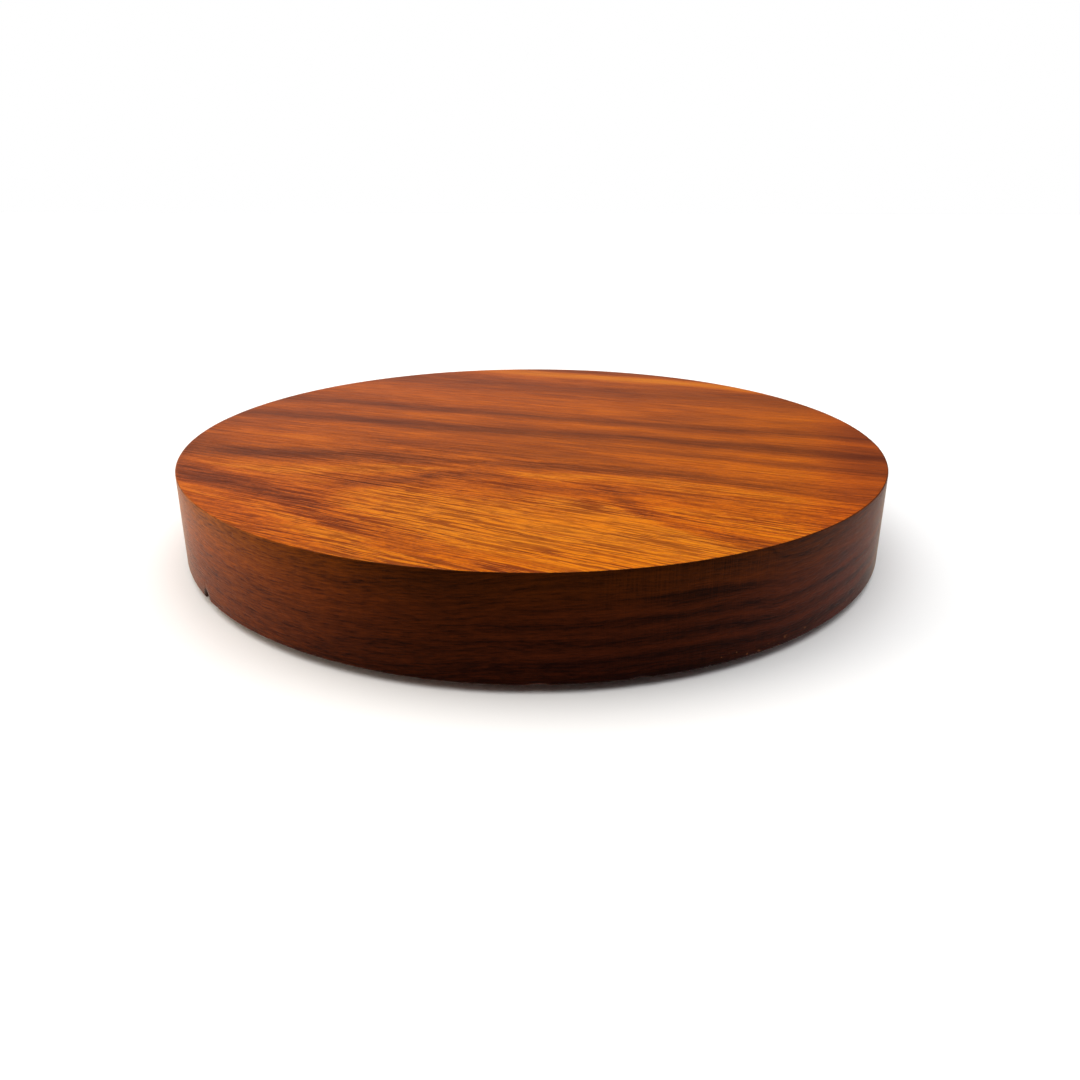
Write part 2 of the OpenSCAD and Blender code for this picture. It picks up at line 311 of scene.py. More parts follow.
# Streaks of the figure on the display face. Each has a half width in mm, a tone (below 0 is
# darker than the ground) and points (along the grain, across the grain, strength), in mm from
# the disc's middle.
STREAKS = [
    # broad bands behind the middle
    (7, 0.30, [(-80, 103, 0.4), (-40, 106, 0.8), (0, 108, 1), (40, 108, 1), (80, 102, 0.9)]),
    (9, -0.14, [(-60, 122, 0.4), (0, 121, 0.8), (60, 118, 0.5)]),
    (12, -0.17, [(-125, 79, 0.7), (-60, 77, 0.9), (0, 76, 0.8), (50, 81, 0.8), (115, 84, 0.6)]),
    (12, 0.09, [(-125, 46, 0.5), (-60, 43, 0.7), (0, 42, 0.9), (50, 51, 0.8), (115, 55, 0.9)]),
    (4, -0.10, [(30, 44, 0), (60, 46, 0.6), (90, 46, 1), (120, 43, 0.7)]),
    # the two long dark lines across the middle
    (5.5, -0.25, [(-125, 18, 0.8), (-80, 20, 0.9), (-30, 20, 0.85), (10, 22, 0.8), (60, 26, 0.75),
                  (120, 30, 0.8)]),
    (5, 0.10, [(-70, 10, 0.2), (-30, 13, 0.9), (10, 14, 0.9), (60, 18, 0.8), (100, 23, 1),
               (125, 24, 0.8)]),
    (6.5, -0.29, [(-125, -13, 0.6), (-80, -8, 0.9), (-30, -6, 1), (10, -2, 1), (60, 3, 1),
                  (120, 6, 1)]),
    (5, 0.14, [(-50, -10, 0.1), (0, -7, 0.7), (30, -2, 0.9), (60, -1, 0.8), (120, 1, 0.7)]),
    (4, -0.09, [(-20, -13, 0), (30, -12, 0.7), (80, -10, 1), (125, -12, 0.8)]),
    # the quiet red zone in front of them
    (5, 0.10, [(-90, -20, 0.3), (-55, -17, 0.8), (-25, -22, 0.7), (0, -25, 0.2)]),
    (9, -0.12, [(-70, -32, 0.2), (-30, -31, 0.7), (10, -28, 0.8), (45, -24, 0.3)]),
    (7, 0.16, [(0, -22, 0), (35, -20, 0.6), (70, -20, 1), (125, -23, 0.9)]),
    (4, 0.12, [(-110, -35, 0.5), (-70, -36, 0.9), (-35, -38, 0.6), (0, -38, 0.5), (20, -33, 0.3)]),
    # the wavy dark band and the flame under it
    (6, -0.26, [(-125, -68, 0.6), (-88, -60, 0.9), (-55, -52, 0.8), (-20, -48, 1), (5, -45, 1),
                (35, -39, 1), (65, -36, 1), (95, -39, 0.7), (125, -44, 0.4)]),
    (9, -0.14, [(-125, -54, 0.9), (-95, -56, 1), (-60, -56, 1), (-35, -52, 0.4)]),
    (6, 0.22, [(-95, -77, 0.3), (-62, -71, 0.7), (-38, -64, 0.9), (-15, -53, 1), (10, -48, 1),
               (40, -44, 1), (75, -43, 1), (115, -45, 0.7)]),
    # the arch, browner inside
    (9, -0.12, [(-22, -77, 0.3), (-5, -70, 0.9), (14, -68, 1), (30, -66, 0.2)]),
    (6.5, -0.30, [(-48, -85, 0), (-32, -78, 0.9), (-20, -70, 1), (-8, -59, 0.9), (3, -54.5, 0.9),
                  (18, -58, 0.8), (38, -59, 0.7), (62, -57, 0.3), (85, -60, 0)]),
    (6, -0.10, [(50, -52, 0.0), (80, -58, 0.6), (115, -62, 0.9)]),
    (5, -0.28, [(40, -54, 0), (50, -63, 0.9), (62, -72, 1), (80, -79, 1), (105, -84, 0.9)]),
    (5, 0.10, [(8, -66, 0.3), (30, -68, 0.7), (45, -78, 0.8), (70, -86, 0.7), (100, -90, 0.4)]),
    # the front left streak and its flames
    (6.5, -0.22, [(-115, -66, 0.4), (-95, -79, 0.9), (-70, -88, 1), (-45, -94, 0.9), (-28, -100, 1),
                  (-8, -108, 1), (12, -113, 0.9), (40, -118, 0.7)]),
    (9, -0.14, [(-95, -84, 0.7), (-70, -88, 1), (-45, -90, 1), (-25, -96, 0.3)]),
    (4, 0.18, [(-85, -95, 0.5), (-65, -97, 1), (-45, -101, 0.9), (-28, -108, 0.8),
               (-8, -116, 0.5)]),
    (18, 0.12, [(-60, -92, 0.1), (-20, -90, 0.9), (20, -92, 1), (60, -90, 0.8), (105, -78, 0.2)]),
    (5, -0.08, [(-70, -107, 0.6), (-40, -114, 0.9), (-10, -122, 0.5)]),
]

STREAK_EDGE = 125       # mm from the middle to the disc's edge
STREAK_NEAR = 100       # a streak that ends further out than this runs on to the edge
STREAK_FADE = 12        # mm in which any other streak fades out past its last point
STREAK_SOFTNESS = 1.5   # how much wider than its half width a streak's soft border reaches

RIM_DEPTH = 32          # mm of the rim that its bands are laid out over
RIM_MEAN = 0.42         # level of its plain wood
RIM_REACH = 10          # mm that the whole height of a rim curve stands for

# Ring bands of the rim: (mm below the display face, level)
RIM_BANDS = [
    (0, 0.36), (3, 0.46), (6.5, 0.55), (8.8, 0.38), (11.6, 0.58), (13.8, 0.16), (16.2, 0.60),
    (18.6, 0.16), (21.3, 0.56), (24, 0.16), (26.2, 0.42), (28.5, 0.20), (RIM_DEPTH, 0.12),
]

# How the bands swell along the front of the rim: (mm to the right, mm up)
RIM_SWELL = [
    (-125, -4.5), (-62, -4.5), (-28, -2.8), (0, -0.3), (12, 0), (36, 0), (58, -1.2), (68, -2.4),
    (90, -2), (125, -1.5),
]

# A dark eye in the bands: mm to the right and down, half its width and half its height
RIM_EYE = (43, 9.0, 18, 2.3)

# A thin dark line that hangs from the upper edge, right of the eye: (mm to the right, mm down)
RIM_LOOP = [
    (-125, 0), (57, 0), (61, 2.2), (65, 3.9), (70, 5), (75, 5.2), (80, 4.2), (85, 3.5),
    (95, 3.2), (125, 3),
]

# Middle of the notch that the first of CHIPS cuts in the lower edge, in mm, round which a painted
# shade darkens it
NOTCH = (-96.0, -79.0, 3.5)


def curve_place(place):
    """A place in mm from the middle, as a curve's 0 to 1 across the disc."""
    return place / SPAN + 0.5


def curve_value(g, place):
    """The same for a shader number."""
    return g.add(g.times(place, 1 / SPAN), 0.5)


def wood_coordinates(g):
    """Along and across the grain and below the display face, in mm, and the fibres' wander."""
    turned = g.node("Mapping", {
        "Vector": g.millimetres()[0], "Rotation": (0, 0, GRAIN_TURN)}).outputs[0]
    along, over, up = g.parts(turned)
    below = g.less(DISC_TOP / MM, up)
    slow = g.noise(g.shrunk((along, over, below), (70, 26, 22)), detail=1)
    quick = g.noise(g.shrunk((along, over, below), (16, 6, 6)), detail=2)
    return along, over, below, g.add(g.swing(slow, 7.0), g.swing(quick, 2.2))


def streak_end(point, side):
    """The points that a streak needs past its last one, going to one side (-1 or 1). One that
    ends near the edge runs on to it, and one that ends further in fades out first."""
    u, v, strength = point
    if side * u >= STREAK_EDGE:
        return []
    if side * u > STREAK_NEAR:
        return [(side * STREAK_EDGE, v, strength)]
    return [(u + side * STREAK_FADE, v, 0), (side * STREAK_EDGE, v, 0)]


def figure_tone(g, along, over):
    """Sum of the streaks on the display face, about 0."""
    position, height = curve_value(g, along), curve_value(g, over)
    total = 0.0
    for half, tone, points in STREAKS:
        points = streak_end(points[0], -1)[::-1] + points + streak_end(points[-1], 1)
        line = g.curve(position, [(curve_place(u), curve_place(v)) for u, v, _ in points])
        power = g.curve(position, [(curve_place(u), strength) for u, _, strength in points])
        near = g.fit(g.distance(height, line), half / SPAN * STREAK_SOFTNESS, 0.0)
        total = g.add(total, g.times(near, power, tone))
    return total


def fibre_noise(g, place, length, width, detail=2.0, roughness=0.6):
    """Noise drawn out along the fibres, its length and width in mm."""
    return g.noise(g.shrunk(place, (length, width, width)), detail=detail, roughness=roughness)


def rim_noise(g, place, length, height, detail=2.0, roughness=0.6):
    """Noise drawn out level all round the rim, its length and height in mm."""
    return g.noise(g.shrunk(place, (length, length, height)), detail=detail, roughness=roughness)


def hardwood_face(wood):
    """Satin-oiled flat-sawn face, with the listed figure."""
    g = Graph("hardwood_face")
    along, over, below, wander = wood_coordinates(g)
    # fibres swing a little towards the front edge, and their pores lie more open there
    near = g.fit(over, -5, -75)
    fan = g.times(g.fit(over, -35, -100), 0.10)
    fibre_over = g.add(over, g.times(along, fan), g.times(wander, 0.35))
    fibre = (along, fibre_over, below)
    # the figure's borders are feathered along the fibres
    feather = fibre_noise(g, fibre, 16, 1.5, 2, 0.65)
    moved = g.add(over, wander, g.swing(feather, 5.5))

    cloud = fibre_noise(g, (along, moved, below), 60, 14, 2)
    streak = fibre_noise(g, fibre, 34, 2.6, 3)
    fine = fibre_noise(g, fibre, 26, 0.75, 4, 0.7)
    sparkle = g.noise(g.vector(g.times(along, 0.75), g.times(over, 0.95), below),
                      detail=2, roughness=0.7)
    tone = g.add(
        # near raises the tone towards the front, a painted light
        0.56, figure_tone(g, along, moved), g.times(near, 0.12),
        g.swing(cloud, 0.34), g.swing(streak, 0.42),
        g.swing(fine, g.add(0.75, g.times(near, 0.25))),
        g.swing(sparkle, g.add(0.20, g.times(near, 0.30))),
        # painted light: lighter at the front right; and darker at both ends of the grain
        g.times(g.fit(over, -30, -85), g.fit(along, -70, 30), 0.19),
        g.times(g.fit(along, 98, 122), -0.14),
        g.times(g.fit(along, -98, -122), g.fit(over, 10, -60), -0.14))
    colour = g.ramp(tone, [
        (0.10, wood.dark), (0.30, wood.brown), (0.52, wood.ground), (0.72, wood.bright),
        (0.98, wood.gold)])

    # redder towards the left, most of all at the front, and at the right end
    red = g.fit(g.add(g.times(along, 0.6), g.times(over, -0.5), g.swing(cloud, 160)), 60, -90)
    corner = g.times(g.fit(over, -60, -95), g.fit(along, 0, -45))
    colour = g.tinted(colour, (1.04, 0.84, 0.95), g.add(g.times(red, 0.5), g.times(corner, 0.55)))
    colour = g.tinted(colour, (1.0, 0.86, 1.15), g.fit(along, 92, 118))
    # golden at the front right and in the pale stripe at the back
    gilded = g.times(g.fit(over, -35, -60), g.fit(along, -40, 30), g.fit(cloud, 0.35, 0.6))
    colour = g.tinted(colour, (1.05, 0.95, 0.4), g.times(gilded, 0.8))
    stripe = g.times(g.fit(g.distance(moved, 107), 9, 1), g.fit(along, -95, -30))
    colour = g.mix(g.times(stripe, 0.5), colour, wood.gold)

    # long open pores in two widths, and short dashes between them
    thin = fibre_noise(g, fibre, 16, 0.80, 1)
    wide = fibre_noise(g, (along, g.add(fibre_over, 37.0), below), 26, 1.25, 1)
    few = fibre_noise(g, fibre, 55, 9, 1)
    opened = g.times(near, g.fit(along, -90, -25, 0.40, 1.0))
    pore = g.times(g.math("MAXIMUM", g.fit(thin, 0.53, 0.58), g.fit(wide, 0.535, 0.575)),
                   g.fit(few, 0.30, 0.60, 0.45, 1.0), g.add(0.34, g.times(opened, 0.66)))
    dash = g.fit(fibre_noise(g, fibre, 5, 0.6, 1), 0.53, 0.60)
    short = g.times(dash, g.add(0.5, opened))
    colour = g.tinted(colour, (0.38, 0.26, 0.22), g.times(pore, 0.90))
    colour = g.tinted(colour, (0.58, 0.50, 0.45), g.times(short, 0.45))

    rough = g.add(0.30, g.swing(streak, 0.10), g.times(pore, 0.15))
    grain = g.bump(g.less(g.times(fine, 0.4), pore), 0.06 * MM, 0.55)
    return g.finish(Base_Color=colour, Roughness=rough, Normal=grain, IOR=1.45,
                    Specular_IOR_Level=0.12, Specular_Tint=(1.0, 0.65, 0.40))


def rim_eye(g, side, depth):
    """The dark eye of the rim's figure, from 0 to 1."""
    eye_side, eye_depth, half_width, half_height = RIM_EYE
    x = g.times(g.less(side, eye_side), 1 / half_width)
    z = g.times(g.less(depth, eye_depth), 1 / half_height)
    return g.fit(g.add(g.times(x, x), g.times(z, z)), 1.2, 0.0)


def rim_loop(g, side, below):
    """The thin dark line that hangs beside the eye, from 0 to 1."""
    hang = g.curve(curve_value(g, side),
                   [(curve_place(x), down / RIM_REACH) for x, down in RIM_LOOP])
    line = g.fit(g.distance(g.times(below, 1 / RIM_REACH), hang), 0.11, 0.02)
    return g.times(line, g.fit(side, 57, 61), g.fit(side, 92, 78))


def rim_sanding(g, side, ahead, below, front):
    """Upright marks of the sanding disc, plainest at the front right, about 0."""
    turn = g.times(g.math("ARCTAN2", ahead, side), DISC_R / MM)
    marks = g.noise(g.vector(g.times(turn, 1 / 0.32), g.times(below, 1 / 11), 0.0),
                    detail=2, roughness=0.7)
    plain = g.times(g.fit(side, 4, 30), g.fit(side, 70, 52), g.fit(below, 14, 2, 0.30, 1.0))
    return g.times(g.less(marks, 0.45), g.add(0.15, g.times(plain, front)))


def hardwood_rim(wood):
    """Turned and oiled rim and underside, where the rings show as level bands."""
    g = Graph("hardwood_rim")
    along, over, below, wander = wood_coordinates(g)
    here, side, ahead, _ = g.millimetres()
    front = g.fit(ahead, -20, -60)
    # the left of the rim, painted lighter: partly paler wood and partly painted light from the left
    left_pale_and_painted_light = g.fit(side, -20, -110)

    roll = g.noise(g.shrunk((along, over, below), (40, 40, 24)), detail=2)
    swell = g.curve(curve_value(g, side),
                    [(curve_place(x), 0.5 + up / RIM_REACH) for x, up in RIM_SWELL])
    depth = g.add(below, g.swing(roll, 3.0), g.times(g.less(swell, 0.5), front, RIM_REACH),
                  g.times(wander, 0.2))
    bands = g.levels(g.times(depth, 1 / RIM_DEPTH),
                     [(down / RIM_DEPTH, level) for down, level in RIM_BANDS])
    ring = (along, over, depth)
    streak = rim_noise(g, ring, 24, 1.5, 2, 0.55)
    fine = rim_noise(g, ring, 4.4, 0.45, 3, 0.65)
    dash = g.fit(rim_noise(g, ring, 3.8, 0.38, 1), 0.52, 0.62)
    speckle = g.noise(g.vector(g.times(along, 0.9), g.times(over, 0.9), g.times(below, 1.8)),
                      detail=2)
    level = g.add(
        RIM_MEAN, g.times(g.less(bands, RIM_MEAN), g.fit(side, -50, 35, 0.22, 0.80)),
        g.times(rim_eye(g, side, depth), front, -0.27),
        g.times(rim_loop(g, side, below), front, -0.22),
        g.swing(streak, g.fit(left_pale_and_painted_light, 0, 1, 0.80, 0.45)),
        g.swing(fine, g.fit(side, -20, 40, 1.25, 0.8)),
        g.swing(speckle, 0.14), g.times(dash, -0.12),
        g.times(rim_sanding(g, side, ahead, below, front), 0.9),
        # painted shade: darker low down in the middle of the front, where little light reaches
        g.times(g.fit(below, 20, 31), front, g.fit(side, -90, -30, 0.3, 1.0),
                g.fit(side, 30, 80, 1.0, 0.3), -0.22))
    # lift brightens the colour: at the left of the rim, most just under the upper edge, as paler
    # wood and painted light from the left; at the right end as a painted reflection
    lift = g.add(1.0, g.times(left_pale_and_painted_light, g.fit(below, 4, 18, 6.2, 3.7)), g.fit(side, 35, 110, 0.0, 1.5))

    # the underside is flat-sawn, with long grain
    under = g.fit(g.facing_up(), -0.4, -0.8)
    long_streak = fibre_noise(g, (along, g.add(over, wander), below), 70, 5, 3)
    long_fine = fibre_noise(g, (along, over, below), 22, 0.8, 3, 0.65)
    long_level = g.add(0.45, g.swing(long_streak, 1.8), g.swing(long_fine, 0.9))
    level = g.add(level, g.times(under, g.less(long_level, level)))
    lift = g.add(lift, g.times(under, g.less(2.4, lift)))

    # the rim's dark colours hold a painted shade of the side as well as the oiled end grain's own
    # darkness
    colour = g.ramp(level, [(0.0, wood.rim_dark), (1.0, wood.rim_light)])
    # the first few millimetres are olive, the last are violet
    tint = g.ramp(g.times(below, 1 / RIM_DEPTH), [
        (0.05, (0.93, 1.02, 0.1)), (0.35, (1.05, 1.0, 0.8)), (0.9, (0.90, 0.80, 1.3))])
    colour = g.tinted(colour, tint, 0.8)
    colour = g.tinted(colour, (0.96, 0.94, 1.6), g.times(g.fit(below, 4, 14), g.fit(side, -30, 20)))
    # painted reflection: the left of the rim is paled and greyed as reflected light would pale it
    colour = g.tinted(colour, (1.05, 1.40, 1.6), left_pale_and_painted_light)
    colour = g.node("VectorMath", {0: colour, "Scale": lift}, operation="SCALE").outputs[0]
    # nicks along the lower edge show bare wood, and the notch is painted dark, a painted shade
    # inside it
    spots = g.noise(g.vector(g.times(along, 0.7), g.times(over, 0.7), g.times(below, 0.9)),
                    detail=1)
    nick = g.times(g.fit(spots, 0.70, 0.74), g.fit(below, 27.0, 28.5), g.fit(side, 42, 50))
    colour = g.mix(g.times(nick, 0.8), colour, (0.20, 0.075, 0.025))
    notch = g.node("VectorMath", {0: here, 1: NOTCH}, operation="DISTANCE").outputs["Value"]
    colour = g.mix(g.fit(notch, 3.2, 2.0), colour, (0.028, 0.009, 0.004))

    rough = g.add(0.42, g.swing(streak, 0.12))
    grain = g.bump(g.less(g.times(fine, 0.6), g.times(dash, 0.5)), 0.08 * MM, 0.6)
    # the sheen pales the rim where it is seen edge on
    return g.finish(Base_Color=colour, Roughness=rough, Normal=grain, IOR=1.45,
                    Specular_IOR_Level=0.04, Specular_Tint=(1.0, 0.5, 0.3),
                    Sheen_Weight=0.42, Sheen_Roughness=0.16, Sheen_Tint=(1.0, 0.80, 0.58))


# Chips and dents along the disc's lower edge: azimuth in degrees, width in mm, depth as a
# multiple of the settings' chip depth
CHIPS = [
    (219.6, 3.8, 2.2), (223.0, 1.8, 0.5), (243.0, 1.2, 0.4), (270.5, 8.0, 0.55), (282.2, 7.0, 0.55),
    (291.0, 0.9, 0.45), (296.5, 0.8, 0.42), (303.5, 1.0, 0.5), (309.5, 0.9, 0.5), (331.0, 1.2, 0.3),
    (12.0, 1.2, 0.45), (58.0, 1.0, 0.35), (97.0, 1.5, 0.5), (141.0, 1.0, 0.35), (176.0, 1.3, 0.45),
]
CHIP_REACH = 1.4        # how far from the corner a chip starts, as a multiple of its depth
CHIP_PUSH = 0.49        # share of the missing distance that a point moves in, and up

# Where the rings of the disc's mesh lie: shares of the face's radius and of the wall's height,
# steps round each eased edge, and rings on the foot between its eased edge and the recess
FACE_PARTS = (0.12, 0.3, 0.5, 0.7, 0.85, 0.95, 0.99)
WALL_PARTS = (0.08, 0.2, 0.35, 0.5, 0.65, 0.8, 0.9, 0.95, 0.98)
EASE_STEPS = 4
FOOT_RINGS = 2
FOOT_RING_STEP = 1.6 * MM

FIRST_CORNER = len(FACE_PARTS) + len(WALL_PARTS) + 2 * (EASE_STEPS + 1) + FOOT_RINGS
RECESS_CORNERS = range(FIRST_CORNER, FIRST_CORNER + 4)

FACE_FINISH, RIM_FINISH = 0, 1          # the disc's material slots


def edge_waver(angle, seed):
    """A slow unevenness of a hand-sanded edge, from -1 to 1."""
    return (math.sin(3 * angle + seed) + math.sin(11 * angle + 2.3 * seed)
            + 0.6 * math.sin(29 * angle + 4.1 * seed)) / 2.6


def disc_profile(s, angle):
    """The disc's half section at one angle, from the middle of its face round to the middle of
    the recess's ceiling, as (radius, height), with every ring in the same order."""
    ease = s.top_ease * (1 + 0.25 * edge_waver(angle, 1.0))
    foot = s.foot_ease * (1 + 0.35 * edge_waver(angle, 2.0))
    high, low = DISC_TOP - ease, DISC_FOOT + foot
    quarter = [math.pi / 2 * step / EASE_STEPS for step in range(EASE_STEPS + 1)]
    rings = [(DISC_R * part, DISC_TOP) for part in FACE_PARTS]
    rings += [(DISC_R - ease + ease * math.sin(turn), high + ease * math.cos(turn))
              for turn in quarter]
    rings += [(DISC_R, high + (low - high) * part) for part in WALL_PARTS]
    rings += [(DISC_R - foot + foot * math.cos(turn), low - foot * math.sin(turn))
              for turn in quarter]
    rings += [(DISC_R - FOOT_RING_STEP * (k + 1), DISC_FOOT) for k in range(FOOT_RINGS)]
    # the recess: a wide step over the base plate and a deeper one that seats the inner ring
    base_r, base_ceiling = BASE_R + s.base_gap, BASE_TOP + s.face_gap
    ring_r, ring_ceiling = OUTER_RING_R + s.ring_gap, INNER_RING_TOP
    rings += [(base_r, DISC_FOOT), (base_r, base_ceiling), (ring_r, base_ceiling),
              (ring_r, ring_ceiling), (ring_r / 2, ring_ceiling)]
    return rings


def chip_loss(s, angle):
    """How deep a chip goes at an angle."""
    lost = 0.0
    for azimuth, width, depth in CHIPS:
        arc = (math.degrees(angle) - azimuth + 180) % 360 - 180
        arc = abs(math.radians(arc) * DISC_R) / (width * MM / 2)
        if arc < 1:
            lost = max(lost, depth * s.chip_depth * (1 - arc * arc))
    return lost


def chipped(s, angle, radius, height):
    """A point of the lower edge, moved up and inwards where a chip is missing."""
    reach = CHIP_REACH * chip_loss(s, angle)
    corner = math.hypot(DISC_R - radius, height - DISC_FOOT)
    if corner >= reach:
        return radius, height
    push = CHIP_PUSH * (reach - corner)
    return radius - push, height + push


def build_disc(s):
    """The disc as one closed turned mesh, with its eased and chipped edges."""
    bm = bmesh.new()
    middle = bm.verts.new((0, 0, DISC_TOP))
    ceiling = bm.verts.new((0, 0, INNER_RING_TOP))
    columns = []
    for i in range(s.segments):
        angle = 2 * math.pi * i / s.segments
        section = [chipped(s, angle, *point) for point in disc_profile(s, angle)]
        columns.append([
            bm.verts.new((radius * math.cos(angle), radius * math.sin(angle), height))
            for radius, height in section])
    for here, there in zip(columns, columns[1:] + columns[:1]):
        bm.faces.new((middle, here[0], there[0])).material_index = FACE_FINISH
        for k in range(len(here) - 1):
            face = bm.faces.new((here[k], here[k + 1], there[k + 1], there[k]))
            face.material_index = FACE_FINISH if k < len(FACE_PARTS) else RIM_FINISH
        bm.faces.new((here[-1], ceiling, there[-1])).material_index = RIM_FINISH
        for k in RECESS_CORNERS:
            bm.edges.get((here[k], there[k])).smooth = False
    for face in bm.faces:
        face.smooth = True
    bm.normal_update()
    bmesh.ops.recalc_face_normals(bm, faces=bm.faces)
    mesh = bpy.data.meshes.new("wood_disc")
    bm.to_mesh(mesh)
    bm.free()
    disc = bpy.data.objects.new("wood_disc", mesh)
    bpy.context.scene.collection.objects.link(disc)
    return disc


# ---------------------------------------------------------------- the other finishes

def turned_aluminium():
    """Machined rings, with fine tool marks round their axis."""
    g = Graph("turned_aluminium")
    vector, x, y, height = g.millimetres()
    radius = g.math("SQRT", g.add(g.times(x, x), g.times(y, y)))
    angle = g.math("ARCTAN2", y, x)
    tool = g.noise(g.vector(g.times(radius, 3.2), g.times(angle, 0.6), g.times(height, 3.2)),
                   detail=2)
    cloud = g.noise(vector, scale=0.05, detail=2)
    colour = g.ramp(g.add(g.times(cloud, 0.7), g.times(tool, 0.3)), [
        (0.2, (0.46, 0.47, 0.48)), (0.8, (0.68, 0.69, 0.70))])
    return g.finish(Base_Color=colour, Metallic=1.0, Roughness=g.fit(tool, 0.3, 0.7, 0.26, 0.42),
                    Normal=g.bump(tool, 0.03 * MM, 0.5))


def ball_steel():
    """Polished balls under a thin film of grease."""
    g = Graph("ball_steel")
    vector = g.millimetres()[0]
    film = g.noise(vector, scale=0.35, detail=3)
    colour = g.ramp(film, [(0.3, (0.50, 0.51, 0.52)), (0.75, (0.68, 0.69, 0.70))])
    return g.finish(Base_Color=colour, Metallic=1.0, Roughness=g.fit(film, 0.3, 0.7, 0.08, 0.16))


def zinc_plate():
    """Plated screws and washers, a little yellowed."""
    g = Graph("zinc_plate")
    vector = g.millimetres()[0]
    bloom = g.noise(vector, scale=0.5, detail=3)
    speck = g.noise(vector, scale=4.0, detail=2)
    colour = g.ramp(bloom, [
        (0.3, (0.40, 0.42, 0.45)), (0.55, (0.55, 0.56, 0.57)), (0.8, (0.60, 0.57, 0.50))])
    return g.finish(Base_Color=colour, Metallic=1.0, Roughness=g.fit(speck, 0.3, 0.7, 0.28, 0.42),
                    Normal=g.bump(speck, 0.03 * MM, 0.4))


def natural_nylon():
    """The ball cage's unpainted nylon, which lets a little light in."""
    g = Graph("natural_nylon")
    vector = g.millimetres()[0]
    cloud = g.noise(vector, scale=0.2, detail=3)
    colour = g.ramp(cloud, [(0.3, (0.66, 0.62, 0.50)), (0.7, (0.78, 0.75, 0.66))])
    return g.finish(Base_Color=colour, Roughness=0.42, Subsurface_Weight=0.08,
                    Normal=g.bump(g.noise(vector, scale=6.0), 0.02 * MM, 0.5))


PLY = 2.85              # thickness of one ply, in mm


def birch_plywood():
    """Rotary-cut face, and level plies on the edge and in the holes."""
    g = Graph("birch_plywood")
    _, x, y, z = g.millimetres()
    rotary = g.noise(g.vector(g.times(x, 1 / 150), g.times(y, 1 / 26), 0.0),
                     detail=2, distortion=0.4)
    rings = g.math("PINGPONG", g.times(rotary, 9.0), 0.5)
    fine = g.noise(g.shrunk((x, y, z), (9, 0.5, 0.5)), detail=2)
    face = g.ramp(g.add(g.times(g.fit(rings, 0.0, 0.5), 0.32), g.times(fine, 0.7)), [
        (0.2, (0.40, 0.25, 0.125)), (0.5, (0.53, 0.36, 0.20)), (0.85, (0.60, 0.43, 0.255))])
    # plies of end grain and long grain by turns, with dark glue between them
    uneven = g.noise(g.vector(g.times(x, 0.05), g.times(y, 0.05), 0.0))
    ply = g.math("FRACT", g.times(g.add(z, g.swing(uneven, 0.3)), 1 / PLY))
    glue = g.fit(g.distance(ply, 0.5), 0.06, 0.0)
    cross = g.fit(g.less(ply, 0.5), -0.02, 0.02)
    edge_fine = g.noise(g.shrunk((x, y, z), (0.6, 0.6, 0.35)), detail=2)
    edge = g.mix(cross, (0.55, 0.36, 0.19), (0.34, 0.19, 0.09))
    edge = g.mix(g.times(edge_fine, 0.5), edge, (0.24, 0.13, 0.06))
    edge = g.mix(g.times(glue, 0.8), edge, (0.07, 0.03, 0.015))
    colour = g.mix(g.fit(g.math("ABSOLUTE", g.facing_up()), 0.55, 0.8), edge, face)
    return g.finish(Base_Color=colour, Roughness=g.fit(fine, 0.3, 0.7, 0.48, 0.62),
                    Normal=g.bump(fine, 0.06 * MM, 0.5))


def moulded_black():
    """The access cap's plastic, with a fine moulded grain."""
    g = Graph("moulded_black")
    vector = g.millimetres()[0]
    texture = g.noise(vector, scale=5.0, detail=2)
    cloud = g.noise(vector, scale=0.3, detail=2)
    colour = g.ramp(cloud, [(0.3, (0.018, 0.018, 0.019)), (0.7, (0.032, 0.032, 0.033))])
    return g.finish(Base_Color=colour, Roughness=g.fit(cloud, 0.3, 0.7, 0.42, 0.55),
                    Normal=g.bump(texture, 0.05 * MM, 0.6))


def foot_rubber():
    """Dull black rubber, dusty in places."""
    g = Graph("foot_rubber")
    vector = g.millimetres()[0]
    fine = g.noise(vector, scale=3.5, detail=3)
    dust = g.noise(vector, scale=0.25, detail=4)
    colour = g.ramp(dust, [
        (0.35, (0.016, 0.016, 0.016)), (0.6, (0.030, 0.029, 0.028)),
        (0.85, (0.075, 0.070, 0.064))])
    return g.finish(Base_Color=colour, Roughness=g.fit(dust, 0.3, 0.7, 0.62, 0.82),
                    Normal=g.bump(fine, 0.12 * MM, 0.5))


def give(names, material):
    """Gives the fixed nodes a finish, in every slot they have."""
    for name in names:
        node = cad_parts[name]
        if not node.material_slots:
            raise RuntimeError(f"{name} has no material slot")
        for slot in node.material_slots:
            slot.material = material


# ---------------------------------------------------------------- the stage

FLOOR_HEIGHT = -0.05 * MM       # just under the feet
SENSOR_WIDTH = 36               # of the camera, in mm

# Soft suns: azimuth (0 is +X, 90 is +Y), elevation and spread in degrees, strength, colour
SUNS = {
    "overhead_light": (90, 84, 80, 3.3, (1.0, 1.0, 1.0)),
    "left_light": (166, 11, 70, 4.0, (1.0, 0.86, 0.72)),
    "right_light": (12, 9, 60, 1.2, (1.0, 0.97, 0.97)),
}

# Soft light from all round. Its strength rises from the first to the second of SKY_STRENGTH,
# where a direction's dot product with the brightest one goes from the first to the second of
# SKY_RISE.
SKY_COLOUR = (0.95, 0.97, 1.0, 1.0)
SKY_BRIGHTEST = (-0.6, 1.0, -1.6)
SKY_RISE = (0.2, 0.9)
SKY_STRENGTH = (0.04, 0.36)


